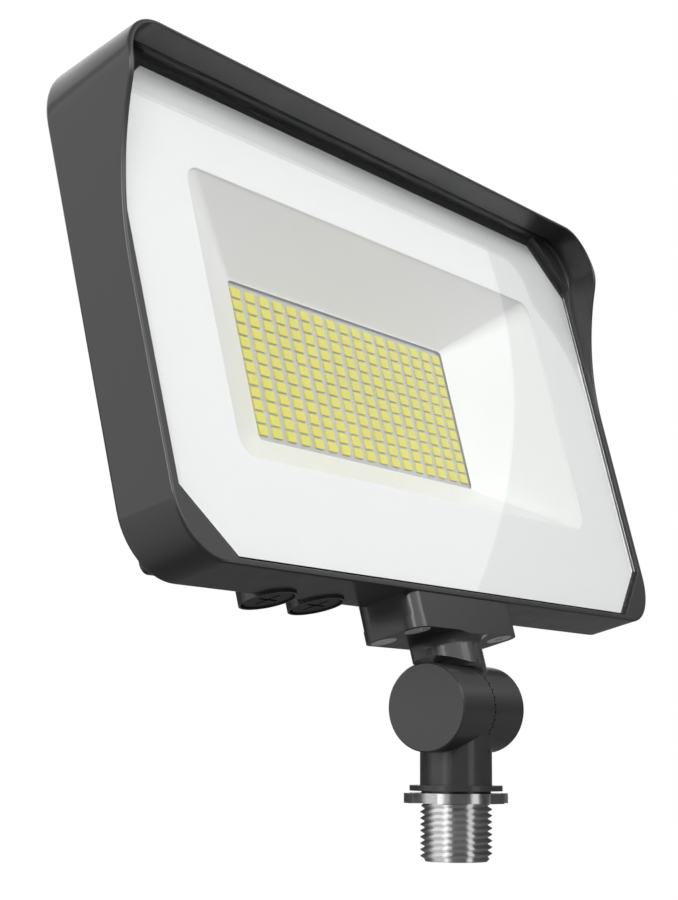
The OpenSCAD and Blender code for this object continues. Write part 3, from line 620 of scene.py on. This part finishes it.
def build_lens():
    def loop(inset, w):
        ends = cut_corners(*(i + inset for i in LENS))
        return place_loop([point for pair in ends for point in pair], w)

    bm = bmesh.new()
    bridge(bm, [loop(0, LENS_BACK), loop(0, LENS_FRONT - LENS_BEVEL),
                loop(LENS_BEVEL, LENS_FRONT)])
    obj = finish_mesh(bm, "lens", GLASS, "head", angle=20, place=HEAD)
    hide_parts("glass_lens")


build_lens()

# Insets of the reflector's flange and of a loop on it round the funnel.
FLANGE, FLANGE_MIDDLE = (4.25, 2.4, 4.0), (9, 7, 9)
FLANGE_BACK, FLANGE_FRONT, FLANGE_BEVEL = 7.52, 8.98, 0.15
# Half width, low and high edge and corner radius of the funnel at its mouth and its foot.
FUNNEL_MOUTH, FUNNEL_FOOT = (98.8, 63.6, 149.0, 6), (61.0, 79.9, 130.9, 2)
FUNNEL_DEPTH, FUNNEL_WALL, FUNNEL_STEPS = 10.4, 1.2, 10
MOUTH_ROLL = 0.6
# The lip at the foot: the share of the way down where it starts, a point on it as share and
# growth, how far it turns in, and how high it is.
FOOT_LIP, FOOT_LIP_MIDDLE, FOOT_LIP_IN, FOOT_LIP_HIGH = 0.965, (0.985, -0.25), -0.3, 0.15


def build_reflector():
    """White flange with a tapered funnel, its mouth rolled in and its foot lipped."""
    bm = bmesh.new()
    loops = []

    def funnel(t, grow):
        half, low, high, r = (a + (b - a) * t for a, b in zip(FUNNEL_MOUTH, FUNNEL_FOOT))
        return rectangle(half + grow, low - grow, high + grow, r + grow)

    def at(points, w):
        loops.append(place_loop(points, w))

    at(funnel(0, FUNNEL_WALL), FLANGE_BACK)
    at(octagon(*FLANGE_MIDDLE), FLANGE_BACK)
    at(octagon(*FLANGE), FLANGE_BACK)
    at(octagon(*FLANGE), FLANGE_FRONT - FLANGE_BEVEL)
    at(octagon(*(i + FLANGE_BEVEL for i in FLANGE)), FLANGE_FRONT)
    at(octagon(*FLANGE_MIDDLE), FLANGE_FRONT)
    for a in quarter_turn(4):
        at(funnel(0, MOUTH_ROLL * (1 - math.sin(a))),
           FLANGE_FRONT - MOUTH_ROLL * (1 - math.cos(a)))
    start = FLANGE_FRONT - MOUTH_ROLL
    for k in range(1, FUNNEL_STEPS + 1):
        t = k / FUNNEL_STEPS * FOOT_LIP
        at(funnel(t, 0), start - (start + FUNNEL_DEPTH) * t)
    at(funnel(*FOOT_LIP_MIDDLE), -FUNNEL_DEPTH + FOOT_LIP_HIGH)
    at(funnel(1.0, FOOT_LIP_IN), -FUNNEL_DEPTH)
    at(funnel(1.0, FUNNEL_WALL), -FUNNEL_DEPTH)
    rings = bridge(bm, loops, close=False)
    join_rings(bm, rings[-1], rings[0])
    obj = finish_mesh(bm, "reflector_shell", WHITE, "head", angle=40, place=HEAD)
    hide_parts("reflector")


build_reflector()

LED_COLUMNS, LED_ROWS = 17, 12
LED_PITCH_X, LED_PITCH_V, LED_MIDDLE = 7.15, 3.96, 105.4
LED_HALF_W, LED_HALF_H, LED_ROUND, LED_BEVEL = 2.3, 1.65, 0.45, 0.3
LED_FOOT, LED_FACE = -11.3, -10.55
# Where the bevel's middle loop lies, in shares of the bevel: inward, and down from the face.
BEVEL_IN, BEVEL_DOWN = 0.35, 0.3


def add_led(bm, cx, cv):
    """A block with rounded upright corners and a front edge that is bevelled in two steps."""
    def loop(inset, w):
        points = []
        r = LED_ROUND - inset
        for sx, sv, start in ((1, 1, 0), (-1, 1, 90), (-1, -1, 180), (1, -1, 270)):
            for turn in (0, 45, 90):
                a = math.radians(start + turn)
                points.append((cx + sx * (LED_HALF_W - inset - r) + r * math.cos(a),
                               cv + sv * (LED_HALF_H - inset - r) + r * math.sin(a)))
        return place_loop(points, w)

    bridge(bm, [loop(0, LED_FOOT), loop(0, LED_FACE - LED_BEVEL),
                loop(LED_BEVEL * BEVEL_IN, LED_FACE - LED_BEVEL * BEVEL_DOWN),
                loop(LED_BEVEL, LED_FACE)])


def build_leds():
    bm = bmesh.new()
    for i in range(LED_COLUMNS):
        for j in range(LED_ROWS):
            add_led(bm, (i - (LED_COLUMNS - 1) / 2) * LED_PITCH_X,
                    LED_MIDDLE + (j - (LED_ROWS - 1) / 2) * LED_PITCH_V)
    obj = finish_mesh(bm, "led_array", PHOSPHOR, "head", angle=25, place=HEAD)
    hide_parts("led_chips")


build_leds()

# Stem and arm

# The stem's conduit thread, in millimetres: its lead, radii, ends and the chamfer at its foot.
PITCH, CREST_R, ROOT_R = 1.814, 10.67, 9.35
THREAD_TOP, THREAD_FOOT = 0.4, -16.5
FOOT_CHAMFER, CHAMFER_SLOPE, FOOT_R = 1.5, 1.05, 9.15
# Under the flange, from this height up, the crests are no wider than this.
RUN_OUT, RUN_OUT_R = -0.9, 10.3
BORE_R, BORE_CHAMFER = 7.5, 0.4
AROUND = 96
# One turn of the thread: shares of the lead and of the height of its crest.
THREAD_SECTION = ((0.0, 0.0), (0.05, 0.06), (0.42, 0.92), (0.5, 1.0), (0.58, 0.92), (0.95, 0.06))
# Share of the upright lean that the thread's normals keep, outside this radius.
THREAD_LEAN, INSIDE_R = 0.04, 8.5
# A face whose normal stands up by more than this cosine isn't a flank of the thread.
FLANK_UPRIGHT = 0.95
# Height below which the stem is made anew and zinc plated, and the slots of both materials.
PLATED_Z = 0.2
COATED, PLATED = 0, 1

# The seam between the discs of arm and stem: its place, half its width and its notches' radii.
SEAM_X, SEAM_HALF, NOTCH_FROM, NOTCH_TO = 0.9, 0.9, 8, 12.98
# Cosine to the tilt axis below which a face in the seam is a notch's wall.
NOTCH_WALL = 0.98


def thread_radius(z, share):
    r = ROOT_R + (CREST_R - ROOT_R) * share
    limit = CREST_R
    if z < THREAD_FOOT + FOOT_CHAMFER:
        limit = CREST_R - (THREAD_FOOT + FOOT_CHAMFER - z) * CHAMFER_SLOPE
    if z > RUN_OUT:
        limit = min(limit, RUN_OUT_R)
    return min(r, limit)


def round_point(r, z, i):
    """Point i of AROUND on a circle about the stem's axis, from millimetres."""
    a = 2 * math.pi * i / AROUND
    return (r * MM * math.cos(a), r * MM * math.sin(a), z * MM)


def add_thread(bm):
    """One skin along the helix. Each column of points stands a little higher than the one before,
    and the last column meets the first one a whole turn farther up."""
    turns = int((THREAD_TOP - THREAD_FOOT) / PITCH) + 2
    columns = []
    for i in range(AROUND):
        column = []
        for turn in range(-1, turns):
            for share, height in THREAD_SECTION:
                z = THREAD_FOOT + (turn + share + i / AROUND) * PITCH
                z = min(THREAD_TOP, max(THREAD_FOOT, z))
                column.append(round_point(thread_radius(z, height), z, i))
        columns.append(column)
    rows = [new_ring(bm, row) for row in zip(*columns)]
    step = len(THREAD_SECTION)
    last = AROUND - 1
    for k, (low, high) in enumerate(zip(rows, rows[1:])):
        for i in range(last):
            bm.faces.new((low[i], low[i + 1], high[i + 1], high[i]))
        if k + step + 1 < len(rows):
            bm.faces.new((rows[k + step][0], rows[k + step + 1][0], high[last], low[last]))


def add_bore(bm):
    """The face under the thread and the chamfered bore."""
    section = ((FOOT_R, THREAD_FOOT), (BORE_R + BORE_CHAMFER, THREAD_FOOT),
               (BORE_R, THREAD_FOOT + BORE_CHAMFER), (BORE_R, THREAD_TOP))
    bridge(bm, [[round_point(r, z, i) for i in range(AROUND)] for r, z in section], close=False)


def soften_thread(obj):
    """Rolled thread: its normals lean less than the flanks of the coarse profile."""
    mesh = obj.data
    normals = [Vector(n.vector) for n in mesh.corner_normals]
    for poly in mesh.polygons:
        if poly.material_index != PLATED or abs(poly.normal.z) > FLANK_UPRIGHT:
            continue
        for loop, index in zip(poly.loop_indices, poly.vertices):
            p = mesh.vertices[index].co
            if math.hypot(p.x, p.y) < INSIDE_R * MM:
                continue
            out = Vector((p.x, p.y, 0)).normalized()
            out.z = normals[loop].z * THREAD_LEAN
            normals[loop] = out.normalized()
    mesh.normals_split_custom_set(normals)


def paint_notch_shade(obj):
    """Paints near-black shade on the walls of the seam's notches, so that they look dark as deep
    shade would.
    """
    obj.data.materials.append(NOTCH_SHADE)
    dark = len(obj.data.materials) - 1
    for poly in obj.data.polygons:
        c = poly.center - KNUCKLE
        in_seam = abs(c.x / MM - SEAM_X) < SEAM_HALF
        in_ring = NOTCH_FROM < math.hypot(c.y, c.z) / MM < NOTCH_TO
        if in_seam and in_ring and abs(poly.normal.x) < NOTCH_WALL:
            poly.material_index = dark


def build_stem():
    bm = cad_mesh("stem")
    bisect(bm, (0, 0, PLATED_Z * MM), (0, 0, 1), clear_inner=True)
    add_thread(bm)
    add_bore(bm)
    bmesh.ops.remove_doubles(bm, verts=bm.verts, dist=2 * WELD)
    obj = finish_mesh(bm, "stem_body", CHARCOAL, "stem", angle=30)
    obj.data.materials.append(ZINC)
    for poly in obj.data.polygons:
        poly.material_index = PLATED if poly.center.z < PLATED_Z * MM else COATED
    true_normals(obj, [((0, 0, 0), (0, 0, 1)), (KNUCKLE, (1, 0, 0))], least_area=6e-6)
    soften_thread(obj)
    paint_notch_shade(obj)
    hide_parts("stem")


def build_arm():
    obj = finish_mesh(cad_mesh("knuckle_arm"), "knuckle_arm_shell", CHARCOAL, "head")
    corners = [(head_point(x, w, 0), HEAD_UP) for x, w in ARM_CORNERS]
    true_normals(obj, [(KNUCKLE, (1, 0, 0))] + corners, least_area=3e-6)
    paint_notch_shade(obj)
    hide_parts("knuckle_arm")


build_stem()
build_arm()

# Looks of the pieces that the CAD makes
for name, mat in {
    "back_cover": CHARCOAL, "cover_gasket": RUBBER, "cover_screws": SCREW, "lens_gasket": RUBBER,
    "led_board": BOARD, "thermal_pad": PAD, "board_screws": SCREW, "driver_tray": TRAY,
    "driver_board": CIRCUIT, "driver_transformer": TAPE, "driver_capacitors": SLEEVE,
    "driver_screws": SCREW, "selector_board": CIRCUIT, "selector_bodies": SWITCH,
    "selector_screws": SCREW, "power_slider": SLIDER, "colour_slider": SLIDER,
    "power_cap": CAP, "power_cap_seal": SILICONE, "colour_cap": CAP, "colour_cap_seal": SILICONE,
    "earth_screw": EARTH, "arm_gasket": RUBBER, "arm_screws": SCREW,
    "pivot_bolt": STEEL, "pivot_washer": STEEL, "locknut": ZINC,
}.items():
    data = nodes[name].data
    data.materials.clear()
    data.materials.append(mat)

# Camera, as it was fitted to the photo: place in metres, angles in degrees, lengths in pixels
CAMERA_AT = (-0.48922, -0.28816, 0.01469)
CAMERA_AZ, CAMERA_EL, CAMERA_ROLL = -55.93, -9.13, -0.42
IMAGE_W, IMAGE_H = 678, 900
FOCAL_PX = 1885.1
SENSOR = 36


def camera_matrix():
    az, el, roll = (math.radians(a) for a in (CAMERA_AZ, CAMERA_EL, CAMERA_ROLL))
    back = Vector((math.sin(az) * math.cos(el), -math.cos(az) * math.cos(el), math.sin(el)))
    ahead = -back
    right = ahead.cross(Vector((0, 0, 1))).normalized()
    down = ahead.cross(right)
    turned_right = right * math.cos(roll) + down * math.sin(roll)
    turned_down = -right * math.sin(roll) + down * math.cos(roll)
    m = Matrix((turned_right, -turned_down, back)).transposed().to_4x4()
    m.translation = Vector(CAMERA_AT)
    return m


def build_camera():
    data = bpy.data.cameras.new("camera")
    data.sensor_fit = "VERTICAL"
    data.sensor_height = SENSOR
    data.sensor_width = SENSOR
    data.lens = FOCAL_PX / IMAGE_H * SENSOR
    data.clip_start = 0.01
    obj = bpy.data.objects.new("camera", data)
    bpy.context.scene.collection.objects.link(obj)
    obj.matrix_world = camera_matrix()
    bpy.context.scene.camera = obj
    return obj


camera = build_camera()

# World and floor

# The white backdrop stands behind the object, the dim room behind the camera.
BACKDROP_AZ, BACKDROP_EL = 30.5, 9.0
# Cosines to the backdrop's middle between which it fades in.
BACKDROP_FADE = (0.93, 0.97)
# Heights of a direction and the room's levels there, for the light cast and for reflections.
ROOM_CAST = (-0.1, 0.5, 0.16, 0.34)
ROOM_GLOSS = (-0.1, 0.7, 0.04, 0.25)

FLOOR_Z, FLOOR_HALF, FLOOR_STEPS = -0.12, 3.0, 24
FLOOR_TONE, FLOOR_ROUGH = 0.16, 0.9
# Strength of the floor's glow, and its share in what the camera sees.
FLOOR_GLOW, FLOOR_SEEN = 1.06, 0.94
# Distances towards the backdrop, in metres, between which reflections see the floor turn white.
FAR_FADE = (0.9, 1.4)
# At the lamp's left they see it pale: distances and cosines along this azimuth.
LEFT_AZ, LEFT_LEVEL = 150, 0.9
LEFT_REACH, LEFT_FADE = (1.5, 2.2), (0.75, 0.93)


def ray_level(tree, seen, gloss, cast):
    """One level where the camera or glass looks, one for reflections and one for light cast."""
    path = tree.nodes.new("ShaderNodeLightPath")
    looked_at = combine(tree, "MAXIMUM", path.outputs["Is Camera Ray"],
                        path.outputs["Is Transmission Ray"])
    other = choose(tree, path.outputs["Is Glossy Ray"], cast, gloss)
    return choose(tree, looked_at, other, seen)


def build_world():
    world = bpy.data.worlds.new("studio")
    bpy.context.scene.world = world
    world.use_nodes = True
    tree = world.node_tree
    background = tree.nodes["Background"]
    background.inputs["Color"].default_value = (1, 1, 1, 1)
    coords = tree.nodes.new("ShaderNodeTexCoord")
    parts = tree.nodes.new("ShaderNodeSeparateXYZ")
    tree.links.new(coords.outputs["Generated"], parts.inputs[0])
    up = parts.outputs["Z"]
    toward = reach_along(tree, coords.outputs["Generated"], BACKDROP_AZ, BACKDROP_EL)
    gloss = combine(tree, "MAXIMUM", remap(tree, toward, *BACKDROP_FADE),
                    remap(tree, up, *ROOM_GLOSS))
    strength = ray_level(tree, 1.0, gloss, remap(tree, up, *ROOM_CAST))
    tree.links.new(strength, background.inputs["Strength"])


def floor_material():
    """White to the camera. Reflections see it white where it runs out to the horizon behind the
    object and pale at the lamp's left, and otherwise as the grey floor that the lamps light."""
    mat, tree, bsdf, out = new_material("floor_white")
    bsdf.inputs["Base Color"].default_value = (FLOOR_TONE, FLOOR_TONE, FLOOR_TONE, 1)
    bsdf.inputs["Roughness"].default_value = FLOOR_ROUGH
    glow = tree.nodes.new("ShaderNodeEmission")
    glow.inputs["Strength"].default_value = FLOOR_GLOW
    place = tree.nodes.new("ShaderNodeTexCoord").outputs["Object"]
    unit = tree.nodes.new("ShaderNodeVectorMath")
    unit.operation = "NORMALIZE"
    tree.links.new(place, unit.inputs[0])
    bearing = unit.outputs["Vector"]
    far = combine(tree, "MINIMUM",
                  remap(tree, reach_along(tree, place, BACKDROP_AZ), *FAR_FADE),
                  remap(tree, reach_along(tree, bearing, BACKDROP_AZ), *BACKDROP_FADE))
    left = combine(tree, "MINIMUM",
                   remap(tree, reach_along(tree, place, LEFT_AZ), *LEFT_REACH, LEFT_LEVEL, 0),
                   remap(tree, reach_along(tree, bearing, LEFT_AZ), *LEFT_FADE, 0, LEFT_LEVEL))
    share = ray_level(tree, FLOOR_SEEN, combine(tree, "MAXIMUM", far, left), 0.0)
    blend_shaders(tree, out, share, bsdf.outputs[0], glow.outputs[0])
    return mat


def build_floor():
    bm = bmesh.new()
    places = [FLOOR_HALF * (2 * i / FLOOR_STEPS - 1) for i in range(FLOOR_STEPS + 1)]
    rows = [new_ring(bm, [(x, y, FLOOR_Z) for x in places]) for y in places]
    for low, high in zip(rows, rows[1:]):
        for i in range(FLOOR_STEPS):
            bm.faces.new((low[i], low[i + 1], high[i + 1], high[i]))
    mesh = bpy.data.meshes.new("floor")
    bm.to_mesh(mesh)
    bm.free()
    mesh.materials.append(floor_material())
    floor = bpy.data.objects.new("floor", mesh)
    bpy.context.scene.collection.objects.link(floor)


build_world()
build_floor()

# Lamps

# Middle and radius of the curved edge that the lens shows, in pixels of the photo's frame.
ARC_X, ARC_Y, ARC_R = 58, 409, 463
ROUND_REACH, ROUND_LEVEL = 2.4, 0.5


def area_lamp(name, shape, width, height, level, at, facing):
    """Lamp that the camera doesn't see, equally bright all over."""
    data = bpy.data.lights.new(name, "AREA")
    data.shape = shape
    data.size, data.size_y = width, height
    area = width * height * (math.pi / 4 if shape == "DISK" else 1)
    data.energy = level * math.pi * area
    lamp = bpy.data.objects.new(name, data)
    bpy.context.scene.collection.objects.link(lamp)
    lamp.location = at
    lamp.rotation_euler = facing.to_track_quat("-Z", "Y").to_euler()
    lamp.visible_camera = False


def softbox(name, az_from, az_to, low, high, level, distance):
    """Upright rectangular lamp facing the stem, azimuths counted from +X towards +Y."""
    a = math.radians((az_from + az_to) / 2)
    width = 2 * distance * math.tan(math.radians((az_to - az_from) / 2))
    middle = (low + high) / 2
    at = Vector((distance * math.cos(a), distance * math.sin(a), middle))
    area_lamp(name, "RECTANGLE", width, high - low, level, at, Vector((0, 0, middle)) - at)


def round_lamp():
    """Round lamp whose mirror image in the lens ends in an arc right of the middle."""
    on_lens = head_point(0, LENS_FRONT, 0)
    eye = Vector(CAMERA_AT)
    mirrored = eye - 2 * (eye - on_lens).dot(HEAD_FRONT) * HEAD_FRONT
    ray = Vector(((ARC_X - IMAGE_W / 2) / FOCAL_PX, -(ARC_Y - IMAGE_H / 2) / FOCAL_PX, -1))
    ray = (camera.matrix_world.to_3x3() @ ray).normalized()
    ray -= 2 * ray.dot(HEAD_FRONT) * HEAD_FRONT
    width = 2 * ROUND_REACH * ARC_R / FOCAL_PX
    area_lamp("round_box", "DISK", width, width, ROUND_LEVEL, mirrored + ray * ROUND_REACH, -ray)


# Azimuths in degrees, lower and upper edge in metres, level, and distance in metres.
for box in (
    ("left_box", 125, 196, -0.05, 2.80, 1.35, 2.6),
    ("low_side", 110, 168, 0.0, 0.075, 0.80, 0.9),
    ("back_box", 50, 115, 0.45, 1.90, 1.3, 1.7),
    ("low_left", 168, 183, -0.11, 0.062, 1.5, 0.9),
    ("low_front", 250, 270, -0.11, 0.062, 1.5, 0.9),
    ("key_strip", 203, 225, 0.98, 1.90, 12.0, 2.6),
    ("front_box", 225, 285, 0.80, 2.90, 1.95, 2.8),
    ("right_box", 285, 315, 1.12, 2.90, 4.1, 2.8),
):
    softbox(*box)
round_lamp()

view = bpy.context.scene.view_settings
view.view_transform = "Standard"
